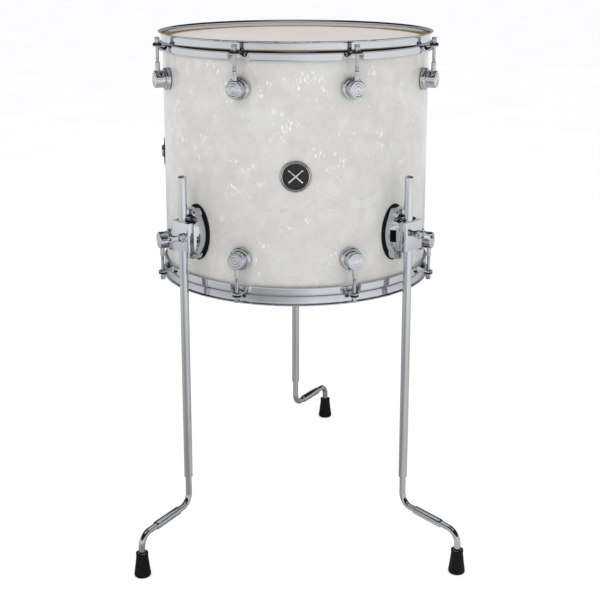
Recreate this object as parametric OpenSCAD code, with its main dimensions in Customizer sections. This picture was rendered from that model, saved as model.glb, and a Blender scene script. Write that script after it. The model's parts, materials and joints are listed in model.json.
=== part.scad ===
// Three-legged floor tom: a wrapped ply shell with a head and a triple-flanged hoop at each end,
// eight turret lugs per end, and three adjustable legs held in hinged clamp brackets.
// Millimetres, +Z up, front towards -Y. The origin is on the floor, at the middle of the outer box.

/* [Shell] */
// Diameter over the wrapped shell
shell_d = 406.4; // [396:0.1:406.4]
// Length of the shell between its bearing edges
shell_h = 355.6; // [300:0.1:420]
// Thickness of the maple plies
ply_t = 6.6; // [5:0.1:9]
// Thickness of the decorative wrap
wrap_t = 0.8; // [0.5:0.1:1.2]
// Diameter of the air vent
vent_d = 9; // [8:0.5:11]

/* [Hoops and heads] */
// Distance from the bearing edge to the outer face of the hoop
hoop_rise = 10.5; // [9:0.5:12]
// Overall height of a hoop
hoop_h = 27; // [25:0.5:29]
// Thickness of the hoop steel
hoop_t = 2; // [1.6:0.1:2.2]
// Diameter over the rolled lip of a hoop
lip_d = 420; // [418:0.5:424]
// Thickness of a drum head's film
film_t = 0.3; // [0.25:0.05:0.3]

/* [Tension rods and lugs] */
// Diameter of the circle that the tension rods stand on
rod_circle_d = 439; // [438:0.5:441]
// Diameter of a tension rod's thread
rod_d = 5; // [4.8:0.1:5.4]
// Length of a tension rod under its flange
rod_len = 52; // [46:1:60]
// Width across the flats of a rod's square key head
key_w = 6.35; // [6:0.05:6.5]
// Distance from a lug's middle to the rim of its hoop
lug_drop = 66; // [60:1:80]
// Diameter of a lug's turret
turret_d = 25.4; // [22:0.1:28]
// Diameter of a lug's foot against the shell
lug_foot_d = 33; // [30:0.5:36]

/* [Legs and brackets] */
// Height of the bottom rim above the floor
rim_z = 395; // [340:1:449]
// Height of the bracket's middle above the bottom rim
bracket_up = 94; // [85:1:140]
// Distance from the drum's axis to a leg's axis
leg_r = 230.5; // [229:0.5:234]
// Diameter of a leg tube
leg_d = 12.7; // [12.5:0.1:13]
// Length of a leg tube
leg_len = 466; // [420:1:500]
// Diameter of the bent leg rod
leg_rod_d = 9.5; // [9:0.1:9.5]
// Horizontal reach of the bent leg rod
leg_reach = 114.4; // [100:0.1:130]
// Which way each leg is turned in its bracket: left, right, rear
leg_toe = [13, -5, -30]; // [-180:1:180]
// Height of a rubber foot
foot_h = 37; // [34:1:42]
// Diameter of a rubber foot at the floor
foot_d = 24.5; // [22:0.5:28]

/* [Hidden] */
$fn = 96;
eps = 0.01;
fit = 0.05;                                     // radial play of a running fit
sides = ["left", "right", "rear"];
leg_angles = [-45, 45, 180];                    // counted from the front, seen from above
rods = 8;
rod_step = 360 / rods;

top_rim_z = rim_z + shell_h + 2 * hoop_rise;
shell_z0 = rim_z + hoop_rise;
mid_z = shell_z0 + shell_h / 2;
shell_r = shell_d / 2;
ply_r = shell_r - wrap_t;
bore_r = ply_r - ply_t;
edge_r = bore_r + ply_t - 1.6;                  // crest of the bearing edge
rod_r = rod_circle_d / 2;

// hoop section: the wall stands over the shell and the skirt hangs outside the flesh hoop
wall_r = 203.8;
skirt_r = wall_r + 4.1;
shelf_drop = 14;
bend_r = 3.5;                                   // outer radius of the rolled bends
ear_drop = shelf_drop + hoop_t;                 // rim to the ear's outer face
ear_r = 7;
ear_hole_d = 7;
notch_w = 37;                                   // width of the skirt's cut-out at its foot

// flesh hoop inside the skirt
flesh_r = 203.5;
flesh_w = 2.2;
flesh_top = ear_drop + 0.2;
flesh_h = 9;

washer_t = 1.5;
washer_d = 13;
flange_t = 2.5;
flange_d = 12;
key_h = 7.6;
sleeve_d = 7;
sleeve_top = 12.5;                              // sleeve length that shows beyond the turret
sleeve_len = 2 * sleeve_top + turret_d - 4;
gasket_t = 0.8;
lug_foot_r = shell_r + gasket_t;                // where the lug's foot starts
turret_r0 = 211.5;
turret_r1 = 225.2;
screw_d = 5;
screw_bite = 7.5;                               // thread length in the lug

badge_d = 45;
badge_t = 1.5;
emblem_t = 0.8;
vent_flange_d = 19;

bracket_z = rim_z + bracket_up;
plate_gasket_t = 1.2;
plate_r0 = shell_r + plate_gasket_t;
plate_r1 = 213;                                 // where the bracket screws' holes end
boss_r = 221;                                   // outer face of the bosses above and below the clamp
split = 0.75;                                   // half of the slit between base and clamp
clamp_x0 = -16.3;
clamp_x1 = 22.5;
clamp_h = 42;
clamp_t = 11;
pin_x = -13;
pin_d = 4;
knuckle_d = 8;
knuckle_play = 0.4;
bolt_x = 12.5;
bolt_d = 6;
bolt_head_d = 10;
bolt_back = -14;                                // from the split plane to the bolt's inner end
bolt_front = 16;
nut_hub_d = 13;
nut_hub_l = 6.5;
wing_reach = 15.6;
wing_lobe_d = 12;
wing_hole_d = 6;
wing_tilt = [-14, 16, 8];
plate_screw_d = 6;
plate_screw_z = 28;

leg_wall = 1.6;
leg_end_bore_d = 6;
tube_z1 = rim_z + 181;
tube_z0 = tube_z1 - leg_len;
knee_z = rim_z - 329;                           // corner between the leg and its arm
ankle_z = rim_z - 332;                          // corner between the arm and the foot
bend_leg_r = 18;
rod_in_tube = 45;
arm_slope = atan((knee_z - ankle_z) / leg_reach);
arm_len = leg_reach / cos(arm_slope);
arm_turn = 90 - arm_slope;
corner_len = bend_leg_r * tan(arm_turn / 2);
collar_from = 0.23;
collar_to = 0.72;
foot_top_d = 16.7;
foot_floor_t = 8;

// footprint: the three feet are the widest points of the drum
function foot_x(i) = leg_r * sin(leg_angles[i]) + leg_reach * sin(leg_angles[i] + leg_toe[i]);
function foot_y(i) = -leg_r * cos(leg_angles[i]) - leg_reach * cos(leg_angles[i] + leg_toe[i]);
feet_x = [for (i = [0:2]) foot_x(i)];
feet_y = [for (i = [0:2]) foot_y(i)];
axis_x = -(min(feet_x) + max(feet_x)) / 2;
axis_y = -(min(feet_y) + max(feet_y)) / 2;

// ---------- placing ----------

// Shapes drawn at the front of the drum, turned to another side of it
module on_side(angle) {
    translate([axis_x, axis_y, 0]) rotate([0, 0, angle]) children();
}

// The same shapes beside every tension rod
module at_rods() {
    for (i = [1:rods]) on_side(rod_angle(i)) children();
}

function rod_angle(i) = rod_step * (i - 0.5);

// Drawn upwards from the top rim, and once more mirrored down from the bottom rim
module both_ends() {
    translate([0, 0, top_rim_z]) children();
    translate([0, 0, rim_z]) mirror([0, 0, 1]) children();
}

// A straight cylinder that points outwards from the drum's axis
module spoke(r0, r1, d, x = 0, z = 0) {
    translate([x, -r0, z]) rotate([90, 0, 0]) cylinder(d = d, h = r1 - r0);
}

// A flat outline in X and Z, extruded outwards
module slab(r0, r1) {
    translate([0, -r0, 0]) rotate([90, 0, 0]) linear_extrude(r1 - r0) children();
}

module drum_ring(r0, r1, z0, z1) {
    translate([0, 0, z0]) difference() {
        cylinder(r = r1, h = z1 - z0);
        translate([0, 0, -1]) cylinder(r = r0, h = z1 - z0 + 2);
    }
}

// ---------- shell ----------

module shell_holes() {
    both_ends() at_rods_local() spoke(bore_r - 5, shell_r + 5, screw_d + 0.5, 0, -lug_drop);
    for (a = leg_angles, s = [-1, 1])
        rotate([0, 0, a]) spoke(bore_r - 5, shell_r + 5, plate_screw_d + 0.5, 0, bracket_z + s * plate_screw_z);
    rotate([0, 0, -90]) spoke(bore_r - 5, shell_r + 5, vent_d + 3 + 2 * fit, 0, mid_z);
}

// Beside every rod, about the drum's own axis
module at_rods_local() {
    for (i = [1:rods]) rotate([0, 0, rod_angle(i)]) children();
}

module shell_plies() {
    color("burlywood") on_side(0) difference() {
        translate([0, 0, shell_z0]) rotate_extrude() polygon([
            [bore_r, edge_r - bore_r], [edge_r, 0], [ply_r, ply_r - edge_r],
            [ply_r, shell_h - (ply_r - edge_r)], [edge_r, shell_h], [bore_r, shell_h - (edge_r - bore_r)]]);
        shell_holes();
    }
}

module shell_wrap() {
    color("gainsboro") on_side(0) difference() {
        drum_ring(ply_r, shell_r, shell_z0 + 2.4, shell_z0 + shell_h - 2.4);
        shell_holes();
    }
}

// ---------- heads ----------

// Section of a drum head: flat film, rounded over the bearing edge and down to the flesh hoop
module film_section() {
    c = [edge_r - 0.4, -hoop_rise - 2.7];       // middle of the shoulder's bend
    r = flesh_r - film_t - c[0];
    polygon(concat(
        [[0, -hoop_rise], [c[0], -hoop_rise]],
        [for (a = [75:-15:0]) c + r * [cos(a), sin(a)]],
        [[flesh_r - film_t, -flesh_top - 3], [flesh_r, -flesh_top - 3]],
        [for (a = [0:15:75]) c + (r + film_t) * [cos(a), sin(a)]],
        [[c[0], -hoop_rise + film_t], [0, -hoop_rise + film_t]]));
}

module head_film() {
    on_side(0) rotate_extrude() film_section();
}

// Section of the metal ring that grips the edge of a head
module flesh_hoop() {
    z = -flesh_top;
    on_side(0) rotate_extrude() polygon([
        [flesh_r, z], [flesh_r + flesh_w - 1, z], [flesh_r + flesh_w, z - 1],
        [flesh_r + flesh_w, z - flesh_h], [flesh_r, z - flesh_h]]);
}

module batter_head_film() {
    color("whitesmoke") translate([0, 0, top_rim_z]) head_film();
}

module resonant_head_film() {
    color("whitesmoke") translate([0, 0, rim_z]) mirror([0, 0, 1]) head_film();
}

module batter_flesh_hoop() {
    color("silver") translate([0, 0, top_rim_z]) flesh_hoop();
}

module resonant_flesh_hoop() {
    color("silver") translate([0, 0, rim_z]) mirror([0, 0, 1]) flesh_hoop();
}

// ---------- hoops ----------

// A quarter of a rolled bend, from angle a to a + 90
module bend(a) {
    intersection() {
        difference() {
            circle(r = bend_r);
            circle(r = bend_r - hoop_t);
        }
        rotate(a) square(bend_r + 1);
    }
}

module hoop_section() {
    lip_r = lip_d / 2 - hoop_t / 2;
    translate([wall_r + bend_r, -hoop_t]) square([lip_r - wall_r - bend_r, hoop_t]);
    translate([lip_r, -hoop_t / 2]) circle(d = hoop_t);
    translate([wall_r + bend_r, -bend_r]) bend(90);
    translate([wall_r, -ear_drop]) square([hoop_t, ear_drop - bend_r]);
    translate([wall_r, -ear_drop]) square([skirt_r - bend_r - wall_r, hoop_t]);
    translate([skirt_r - bend_r, -shelf_drop - bend_r]) bend(0);
    translate([skirt_r - hoop_t, -hoop_h]) square([hoop_t, hoop_h - shelf_drop - bend_r]);
}

// Cut-out in the skirt below an ear, with sloping sides
module skirt_notch() {
    depth = hoop_h - ear_drop - hoop_t;
    translate([0, -hoop_h]) polygon([
        [-notch_w / 2, -1], [notch_w / 2, -1], [notch_w / 2, 0],
        [ear_r, depth], [-ear_r, depth], [-notch_w / 2, 0]]);
}

module ear() {
    translate([0, 0, -ear_drop - hoop_t]) linear_extrude(hoop_t) difference() {
        union() {
            translate([0, -rod_r]) circle(r = ear_r);
            polygon([[-10, -skirt_r + 1.5], [-6.6, -rod_r + 2.2], [6.6, -rod_r + 2.2], [10, -skirt_r + 1.5]]);
        }
        translate([0, -rod_r]) circle(d = ear_hole_d);
        circle(r = skirt_r - hoop_t + 0.3);
    }
}

module hoop() {
    on_side(0) union() {
        difference() {
            rotate_extrude() hoop_section();
            at_rods_local() slab(wall_r, skirt_r + 5) skirt_notch();
        }
        at_rods_local() ear();
    }
}

module top_hoop() {
    color("silver") translate([0, 0, top_rim_z]) hoop();
}

module bottom_hoop() {
    color("silver") translate([0, 0, rim_z]) mirror([0, 0, 1]) hoop();
}

// ---------- tension rods ----------

module tension_rod() {
    seat = -ear_drop + washer_t;                // underside of the rod's flange
    translate([0, -rod_r, 0]) {
        translate([0, 0, seat - rod_len]) cylinder(d = rod_d, h = rod_len + 1);
        translate([0, 0, seat]) cylinder(d = flange_d, h = 1);
        translate([0, 0, seat + 1]) cylinder(d1 = flange_d, d2 = key_w + 1, h = flange_t - 1);
        translate([-key_w / 2, -key_w / 2, seat + 1]) cube([key_w, key_w, key_h + flange_t - 1]);
    }
}

module top_rod(i) {
    color("silver") translate([0, 0, top_rim_z]) on_side(rod_angle(i)) tension_rod();
}

module bottom_rod(i) {
    color("silver") translate([0, 0, rim_z]) mirror([0, 0, 1]) on_side(rod_angle(i)) tension_rod();
}

module rod_washers() {
    color("black") both_ends() at_rods() translate([0, -rod_r, -ear_drop]) difference() {
        cylinder(d = washer_d, h = washer_t);
        translate([0, 0, -1]) cylinder(d = rod_d + 1, h = washer_t + 2);
    }
}

// ---------- lugs ----------

module lug_gaskets() {
    color("black") both_ends() at_rods() intersection() {
        drum_ring(shell_r, lug_foot_r, -lug_drop - 30, -lug_drop + 30);
        difference() {
            spoke(shell_r - 5, lug_foot_r + 5, lug_foot_d + 1, 0, -lug_drop);
            spoke(shell_r - 6, lug_foot_r + 6, screw_d + 0.5, 0, -lug_drop);
        }
    }
}

module lug_feet() {
    color("silver") both_ends() at_rods() difference() {
        translate([0, 0, -lug_drop]) rotate([90, 0, 0]) rotate_extrude() polygon([
            [0, shell_r - 4], [lug_foot_d / 2, shell_r - 4], [lug_foot_d / 2, turret_r0 - 2.5],
            [lug_foot_d / 2 - 0.7, turret_r0 - 0.9], [lug_foot_d / 2 - 2.2, turret_r0], [0, turret_r0]]);
        translate([0, 0, -lug_drop - 40]) cylinder(r = lug_foot_r, h = 80);
        spoke(shell_r - 5, lug_foot_r + screw_bite, screw_d + 2 * fit, 0, -lug_drop);
    }
}

module lug_turrets() {
    r = turret_d / 2;
    color("silver") both_ends() at_rods() difference() {
        translate([0, 0, -lug_drop]) rotate([90, 0, 0]) rotate_extrude() polygon([
            [0, turret_r0], [r, turret_r0], [r, turret_r1 - 1.8], [r - 0.6, turret_r1 - 0.6],
            [r - 1.8, turret_r1], [r - 3, turret_r1], [r - 3.4, turret_r1 - 0.6], [r - 5.4, turret_r1 - 0.6],
            [r - 5.8, turret_r1], [3.4, turret_r1], [3, turret_r1 - 0.6], [0, turret_r1 - 0.6]]);
        translate([0, -rod_r, -lug_drop + r + sleeve_top - sleeve_len])
            cylinder(d = sleeve_d + 2 * fit, h = sleeve_len);
    }
}

module swivel_nut_sleeves() {
    z1 = -lug_drop + turret_d / 2 + sleeve_top;
    color("lightsteelblue") both_ends() at_rods() translate([0, -rod_r, z1 - sleeve_len]) difference() {
        cylinder(d = sleeve_d, h = sleeve_len);
        translate([0, 0, 2]) cylinder(d = rod_d + 2 * fit, h = sleeve_len);
    }
}

// Screw, washer and head inside the shell
module shell_screw(d, head_d, washer_od, tip_r, z) {
    seat_r = bore_r - 0.2;
    spoke(seat_r - 1.4 - eps, tip_r, d, 0, z);
    spoke(seat_r - 1.4, seat_r, washer_od, 0, z);
    spoke(seat_r - 1.4 - 0.7 * d, seat_r - 1.4, head_d, 0, z);
}

module lug_screws() {
    color("gray") both_ends() at_rods()
        shell_screw(screw_d, 9, 14, lug_foot_r + screw_bite - 1, -lug_drop);
}

// ---------- badge and vent ----------

// A round plate bent to the shell, drawn at the front
module round_plate(d, t, hole_d = 0) {
    intersection() {
        drum_ring(shell_r, shell_r + t, mid_z - d, mid_z + d);
        difference() {
            spoke(shell_r - 10, shell_r + 10, d, 0, mid_z);
            if (hole_d > 0) spoke(shell_r - 11, shell_r + 11, hole_d, 0, mid_z);
        }
    }
}

module badge_plate() {
    color("black") on_side(0) round_plate(badge_d, badge_t);
}

// Two crossed drumsticks inside a double ring
module emblem_outline() {
    for (d = [badge_d - 1, badge_d - 5]) difference() {
        circle(d = d);
        circle(d = d - 2);
    }
    for (s = [-1, 1]) rotate(s * 40) {
        translate([-0.9, -11]) square([1.8, 22]);
        translate([0, 11]) circle(d = 3.6);
    }
}

module badge_emblem() {
    color("silver") on_side(0) intersection() {
        drum_ring(shell_r + badge_t, shell_r + badge_t + emblem_t, mid_z - badge_d, mid_z + badge_d);
        translate([0, 0, mid_z]) slab(shell_r, shell_r + 10) emblem_outline();
    }
}

module vent_plate() {
    color("black") on_side(-90) round_plate(badge_d, badge_t, vent_d + 3 + 2 * fit);
}

module vent_grommet() {
    color("silver") on_side(-90) difference() {
        union() {
            spoke(bore_r - 1.6, shell_r + badge_t + 2, vent_d + 3, 0, mid_z);
            translate([0, 0, mid_z]) rotate([90, 0, 0]) rotate_extrude() translate([0, shell_r + badge_t])
                polygon([[0, 0.1], [vent_flange_d / 2, 0.1], [vent_flange_d / 2, 1], [vent_d / 2 + 2.5, 4],
                         [vent_d / 2 + 0.8, 4], [0, 3]]);
            spoke(bore_r - 1.6, bore_r - 0.25, vent_flange_d - 2, 0, mid_z);
        }
        spoke(bore_r - 5, shell_r + 10, vent_d, 0, mid_z);
    }
}

// ---------- leg brackets, drawn at the front ----------

// Upright oval
module oval(w, h) {
    polygon([for (a = [0:5:355]) [w / 2 * cos(a), h / 2 * sin(a)]]);
}

module at_legs() {
    for (a = leg_angles) on_side(a) translate([0, 0, bracket_z]) children();
}

module bracket_gaskets() {
    color("black") at_legs() intersection() {
        drum_ring(shell_r, plate_r0, -60, 60);
        difference() {
            slab(shell_r - 10, shell_r + 10) oval(52, 84);
            for (s = [-1, 1]) spoke(shell_r - 12, shell_r + 12, plate_screw_d + 0.5, 0, s * plate_screw_z);
        }
    }
}

// Room for the leg tube, centred on the split plane
module leg_groove() {
    translate([0, -leg_r, -60]) cylinder(d = leg_d + 2 * fit, h = 120);
}

module knuckle(d, z0, z1) {
    translate([pin_x, -leg_r, z0]) cylinder(d = d, h = z1 - z0);
}

third = clamp_h / 6;                            // half height of the middle knuckle

module bracket_body() {
    // the walls run straight from an oval on the shell to the clamp's outline
    hull() {
        slab(shell_r - 4, shell_r + 3) oval(44, 76);
        slab(leg_r - split - 1, leg_r - split) translate([clamp_x0, -clamp_h / 2])
            square([clamp_x1 - clamp_x0, clamp_h]);
    }
    slab(shell_r + 2, boss_r) intersection() {
        oval(42, 74);
        square([31, 80], center = true);
    }
    knuckle(knuckle_d, -third + 0.2, third - 0.2);
}

module bracket_bases() {
    color("silver") at_legs() difference() {
        bracket_body();
        translate([0, 0, -60]) cylinder(r = plate_r0, h = 120);
        leg_groove();
        knuckle(pin_d + 2 * fit, -60, 60);
        // pockets for the clamp's two knuckles
        knuckle(knuckle_d + 2 * knuckle_play, third, 60);
        knuckle(knuckle_d + 2 * knuckle_play, -60, -third);
        // spring pocket in the hinge side
        translate([clamp_x0 - 8, -leg_r + 6, -9]) cube([12, 9.5, 18]);
        // cavity in which the clamp bolt swings
        spoke(leg_r - 16, leg_r - 5.5, 15.2, bolt_x, 0);
        spoke(leg_r - 6, leg_r + 5, 8.6, bolt_x, 0);
        for (s = [-1, 1]) spoke(shell_r - 12, plate_r1, plate_screw_d + 2 * fit, 0, s * plate_screw_z);
    }
}

module bracket_screws() {
    color("gray") at_legs() for (s = [-1, 1])
        shell_screw(plate_screw_d, 11, 16, plate_r1 - 1, s * plate_screw_z);
}

module clamp_hinge_pins() {
    color("gray") at_legs() translate([pin_x, -leg_r, -clamp_h / 2 - 1]) cylinder(d = pin_d, h = clamp_h + 2);
}

// Outline of the clamp from above: round at the hinge and at its outer corners
module clamp_outline() {
    r = 4;
    y = -leg_r - split;
    w = clamp_x1 - clamp_x0;
    translate([clamp_x0, y - clamp_t + split + r]) square([w, clamp_t - split - r]);
    translate([clamp_x0 + r, y - clamp_t + split]) square([w - 2 * r, r + eps]);
    for (x = [clamp_x0 + r, clamp_x1 - r]) translate([x, y - clamp_t + split + r]) circle(r = r);
}

module clamp_block() {
    difference() {
        union() {
            translate([0, 0, -clamp_h / 2]) linear_extrude(clamp_h) clamp_outline();
            knuckle(knuckle_d, -clamp_h / 2, -third - 0.2);
            knuckle(knuckle_d, third + 0.2, clamp_h / 2);
        }
        leg_groove();
        knuckle(pin_d + 2 * fit, -60, 60);
        knuckle(knuckle_d + 2 * knuckle_play, -third, third);
        spoke(leg_r - 5, leg_r + 20, bolt_d + 0.6, bolt_x, 0);
    }
}

module clamp(i) {
    color("silver") on_side(leg_angles[i]) translate([0, 0, bracket_z]) clamp_block();
}

module clamp_bolt(i) {
    color("gray") on_side(leg_angles[i]) translate([0, 0, bracket_z]) {
        spoke(leg_r + bolt_back, leg_r + bolt_front, bolt_d, bolt_x, 0);
        spoke(leg_r + bolt_back, leg_r + bolt_back + 4, bolt_head_d, bolt_x, 0);
    }
}

// Face of one wing: a waisted arm with a lobe at its end
module wing_face() {
    translate([wing_reach, 0]) circle(d = wing_lobe_d);
    polygon([[3, 5], [wing_reach / 2 + 1, 3.4], [wing_reach, 5], [wing_reach, -5],
             [wing_reach / 2 + 1, -3.4], [3, -5]]);
}

// One wing from above, swept outwards
module wing_sweep() {
    polygon([[3.5, -2.5], [8, -3], [wing_reach + 7, -9.5], [wing_reach + 7, -13], [8, -6.4], [3.5, -6]]);
}

module wing() {
    difference() {
        intersection() {
            slab(0, 20) wing_face();
            translate([0, 0, -10]) linear_extrude(20) wing_sweep();
        }
        spoke(-1, 20, wing_hole_d, wing_reach);
    }
}

module wing_nut(i) {
    color("silver") on_side(leg_angles[i]) translate([bolt_x, -leg_r - clamp_t - 0.1, bracket_z])
        rotate([0, wing_tilt[i], 0]) difference() {
            union() {
                spoke(0, nut_hub_l, nut_hub_d);
                wing();
                mirror([1, 0, 0]) wing();
            }
            spoke(-1, 20, bolt_d + 2 * fit);
        }
}

// ---------- legs ----------

// Drawn about the leg's own axis, with its arm towards the front
module at_leg(i) {
    on_side(leg_angles[i]) translate([0, -leg_r, 0]) rotate([0, 0, leg_toe[i]]) children();
}

module leg_tube(i) {
    color("silver") at_leg(i) difference() {
        union() {
            translate([0, 0, tube_z0]) cylinder(d = leg_d, h = leg_len - 1);
            translate([0, 0, tube_z1 - 1]) cylinder(d1 = leg_d, d2 = leg_d - 2, h = 1);
        }
        translate([0, 0, tube_z0 - 1]) cylinder(d = leg_rod_d + 2 * fit, h = leg_len - 3);
        translate([0, 0, tube_z0]) cylinder(d = leg_end_bore_d, h = leg_len + 1);
    }
}

// A bend that turns the rod by arm_turn, starting downwards and ending along the arm
module rod_bend(d) {
    translate([0, -bend_leg_r, 0]) rotate([-90, 0, 90])
        rotate_extrude(angle = arm_turn) translate([bend_leg_r, 0]) circle(d = d);
}

module along_arm() {
    translate([0, 0, knee_z]) rotate([90 + arm_slope, 0, 0]) children();
}

// Shallow ring where a straight stretch meets a bend
module bead() {
    cylinder(d = leg_rod_d + 0.3, h = 1.2, center = true);
}

module leg_rod(i) {
    bend_top = knee_z + corner_len;
    bend_end = ankle_z - corner_len;
    color("silver") at_leg(i) {
        translate([0, 0, bend_top]) {
            cylinder(d = leg_rod_d, h = tube_z0 + rod_in_tube - bend_top);
            rod_bend(leg_rod_d);
            bead();
        }
        along_arm() translate([0, 0, corner_len]) {
            cylinder(d = leg_rod_d, h = arm_len - 2 * corner_len);
            bead();
            translate([0, 0, arm_len - 2 * corner_len]) bead();
        }
        translate([0, -leg_reach, bend_end]) {
            rotate([180, 0, 0]) rod_bend(leg_rod_d);
            bead();
        }
        translate([0, -leg_reach, foot_floor_t]) cylinder(d = leg_rod_d, h = bend_end - foot_floor_t);
    }
}

module leg_collar(i) {
    color("silver") at_leg(i) along_arm() translate([0, 0, arm_len * collar_from]) difference() {
        cylinder(d = leg_d, h = arm_len * (collar_to - collar_from));
        translate([0, 0, -1]) cylinder(d = leg_rod_d + 2 * fit, h = arm_len);
    }
}

module foot(i) {
    color("dimgray") at_leg(i) translate([0, -leg_reach, 0]) difference() {
        rotate_extrude() polygon([
            [0, 0], [foot_d / 2 - 3, 0], [foot_d / 2 - 0.9, 0.9], [foot_d / 2, 3], [foot_d / 2, 7],
            [foot_top_d / 2 + 0.6, foot_h - 5], [foot_top_d / 2 + 0.6, foot_h - 1.5],
            [foot_top_d / 2 - 0.6, foot_h], [0, foot_h]]);
        translate([0, 0, foot_floor_t]) cylinder(d = leg_rod_d + 2 * fit, h = foot_h);
        // the mouth stands clear of the rod
        translate([0, 0, foot_h - 4]) cylinder(d = leg_rod_d + 1.6, h = 5);
    }
}

// ---------- nodes ----------

shell_plies();
shell_wrap();
top_hoop();
bottom_hoop();
batter_head_film();
batter_flesh_hoop();
resonant_head_film();
resonant_flesh_hoop();
lug_gaskets();
lug_feet();
lug_turrets();
swivel_nut_sleeves();
lug_screws();
rod_washers();
badge_plate();
badge_emblem();
vent_plate();
vent_grommet();
bracket_gaskets();
bracket_bases();
bracket_screws();
clamp_hinge_pins();
for (i = [0:2]) {
    clamp(i);
    clamp_bolt(i);
    wing_nut(i);
    leg_tube(i);
    leg_rod(i);
    leg_collar(i);
    foot(i);
}
for (i = [1:rods]) {
    top_rod(i);
    bottom_rod(i);
}
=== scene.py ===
"""Floor tom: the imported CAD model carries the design, and this script gives every piece its finished look."""
import json
import math
from math import copysign, cos, hypot, pi, radians, sin, sqrt

import bmesh
import bpy
import numpy as np
from mathutils import Matrix, Vector


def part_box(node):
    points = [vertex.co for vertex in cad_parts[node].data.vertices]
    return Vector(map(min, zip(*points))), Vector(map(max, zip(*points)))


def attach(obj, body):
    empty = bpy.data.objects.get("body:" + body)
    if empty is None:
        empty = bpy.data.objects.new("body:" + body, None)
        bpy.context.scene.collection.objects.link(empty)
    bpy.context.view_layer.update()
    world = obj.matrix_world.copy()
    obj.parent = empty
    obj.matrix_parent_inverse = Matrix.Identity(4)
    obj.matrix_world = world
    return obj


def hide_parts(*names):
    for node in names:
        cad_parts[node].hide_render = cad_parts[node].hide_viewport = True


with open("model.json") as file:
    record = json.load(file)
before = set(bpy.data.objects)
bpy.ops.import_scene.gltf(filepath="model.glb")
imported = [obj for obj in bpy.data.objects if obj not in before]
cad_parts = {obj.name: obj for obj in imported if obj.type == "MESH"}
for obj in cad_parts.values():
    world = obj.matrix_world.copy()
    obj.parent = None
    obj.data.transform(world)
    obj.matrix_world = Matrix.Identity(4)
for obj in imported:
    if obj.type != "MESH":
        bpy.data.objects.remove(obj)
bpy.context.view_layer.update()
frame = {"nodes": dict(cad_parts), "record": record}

MM = 0.001
SIDES = ("left", "right", "rear")
ROD_ANGLES = [45 * (i + 0.5) for i in range(8)]  # from the front, seen from above

# ---- the frame's own sizes, in millimetres


def node_box(name):
    low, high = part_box(name)
    return np.array(low) / MM, np.array(high) / MM


def joint_place(name):
    """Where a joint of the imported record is, in millimetres."""
    found = next(j for j in frame["record"]["behaviour"]["joints"] if j["name"] == name)
    return np.array(found["pos_m"]) / MM


wrap_low, wrap_high = node_box("shell_wrap")
AXIS = (wrap_low + wrap_high)[:2] / 2
SHELL_R = (wrap_high - wrap_low)[0] / 2
WRAP_Z = wrap_low[2], wrap_high[2]
PLY_LOW, PLY_HIGH = node_box("shell_plies")
MID_Z = (PLY_LOW[2] + PLY_HIGH[2]) / 2
TOP_RIM = node_box("top_hoop")[1][2]
BOTTOM_RIM = node_box("bottom_hoop")[0][2]
BRACKET_Z = joint_place("clamp_swing_left")[2]
LEG_R = float(np.hypot(*(joint_place("leg_turn_rear")[:2] - AXIS)))
ROD_R = float(np.hypot(*(joint_place("top_rod_1_turn")[:2] - AXIS)))
TUBE_LOW, TUBE_HIGH = (b[2] for b in node_box("leg_tube_rear"))
LIP_R = 209.9
LUG_DROP = 66.0  # from a rim down to the middle of its lugs
TURRET_R = 12.7
LUG_FOOT_R = 16.5
SEAT_DROP = TOP_RIM - node_box("rod_washers")[1][2]  # from a rim down to the underside of a rod's flange


def side_of(point):
    """The angle from the front, seen from above, at which a point stands about the drum's axis."""
    x, y = point[:2] - AXIS
    return math.degrees(math.atan2(x, -y))


LEG_ANGLES = {s: side_of(joint_place("leg_turn_" + s)) for s in SIDES}

# ---- placing


def shift(x, y, z):
    return Matrix.Translation((x, y, z))


def turned(degrees, axis="Z"):
    return Matrix.Rotation(radians(degrees), 4, axis)


def at_side(angle, z=0.0):
    """Takes shapes drawn at the front of the drum (outwards is -Y) to an angle and a height."""
    return shift(AXIS[0], AXIS[1], z) @ turned(angle)


def at_end(top):
    """Takes shapes drawn about the top rim to the top of the drum, or turned over to the bottom."""
    if top:
        return shift(AXIS[0], AXIS[1], TOP_RIM)
    return shift(AXIS[0], AXIS[1], BOTTOM_RIM) @ Matrix.Rotation(pi, 4, "X")


def rod_places():
    """One matrix for each of the sixteen tension rods, drawn about the rim and the front."""
    return [at_end(top) @ turned(a)
            for top in (True, False) for a in ROD_ANGLES]


OUTWARDS = Matrix.Rotation(pi / 2, 4, "X")  # turns +Z to -Y

# ---- shapes: (vertices in millimetres, faces)


def moved(shape, matrix):
    v, f = shape
    m = np.array(matrix)
    return v @ m[:3, :3].T + m[:3, 3], f


def joined(shapes):
    verts, faces, n = [], [], 0
    for v, f in shapes:
        verts.append(v)
        faces += [tuple(i + n for i in face) for face in f]
        n += len(v)
    return np.vstack(verts), faces


def repeated(shape, places):
    return joined([moved(shape, m) for m in places])


def grid_faces(rows, cols, wrap_rows=False, wrap_cols=True):
    faces = []
    for i in range(rows if wrap_rows else rows - 1):
        for j in range(cols if wrap_cols else cols - 1):
            a, b = i * cols, (i + 1) % rows * cols
            k = (j + 1) % cols
            faces.append((a + j, a + k, b + k, b + j))
    return faces


def loft(rings, cap_start=True, cap_end=True):
    """A skin over closed rings that all have the same number of points."""
    rings = np.array(rings, float)
    rows, cols = rings.shape[:2]
    faces = grid_faces(rows, cols)
    if cap_start:
        faces.append(tuple(range(cols))[::-1])
    if cap_end:
        faces.append(tuple(range((rows - 1) * cols, rows * cols)))
    return rings.reshape(-1, 3), faces


def full_turn(n):
    return np.linspace(0, 2 * pi, n, endpoint=False)


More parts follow.
